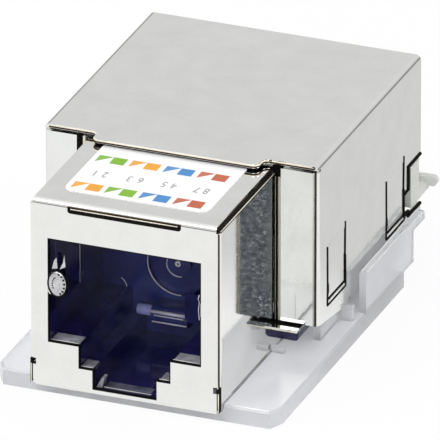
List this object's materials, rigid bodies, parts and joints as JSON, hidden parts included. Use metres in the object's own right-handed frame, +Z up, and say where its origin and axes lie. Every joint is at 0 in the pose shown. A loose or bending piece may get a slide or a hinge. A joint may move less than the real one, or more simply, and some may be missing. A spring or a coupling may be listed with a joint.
{
  "type": "shielded rj45 jack module",
  "caption": "Shielded modular jack with a stepped plug opening, folded metal cover, colour-coded wiring label, rear wire guide and a clear snap-in base.",
  "frame": {"origin": "on the underside of the clear base, under the centre line of the jack, 13.7 mm behind the jack face", "axes": "+X to the right when facing the plug opening, +Y from the plug side to the cable side, +Z up"},
  "size_m": [0.023, 0.0342, 0.0161],
  "materials": {
    "shield_tin": "bright tin plate",
    "cover_tin": "satin tin plate",
    "label_white": "printed, semi-gloss",
    "housing_navy": "polished moulding",
    "carrier_navy": "moulded",
    "contact_gold": "gold plate",
    "board_green": "solder mask",
    "block_white": "moulded",
    "blade_tin": "tin plate",
    "guide_clear": "milky clear",
    "base_clear": "clear moulding"
  },
  "bodies": {
    "root": {"front_shield": "shield_tin", "rear_cover": "cover_tin", "wiring_label": "label_white", "jack_housing": "housing_navy", "contact_carrier": "carrier_navy", "contact_1": "contact_gold", "contact_2": "contact_gold", "contact_3": "contact_gold", "contact_4": "contact_gold", "contact_5": "contact_gold", "contact_6": "contact_gold", "contact_7": "contact_gold", "contact_8": "contact_gold", "circuit_board": "board_green", "terminal_block_left": "block_white", "terminal_block_right": "block_white", "terminal_1": "blade_tin", "terminal_2": "blade_tin", "terminal_3": "blade_tin", "terminal_4": "blade_tin", "terminal_5": "blade_tin", "terminal_6": "blade_tin", "terminal_7": "blade_tin", "terminal_8": "blade_tin", "wire_guide": "guide_clear", "clear_base": "base_clear"}
  },
  "joints": []
}
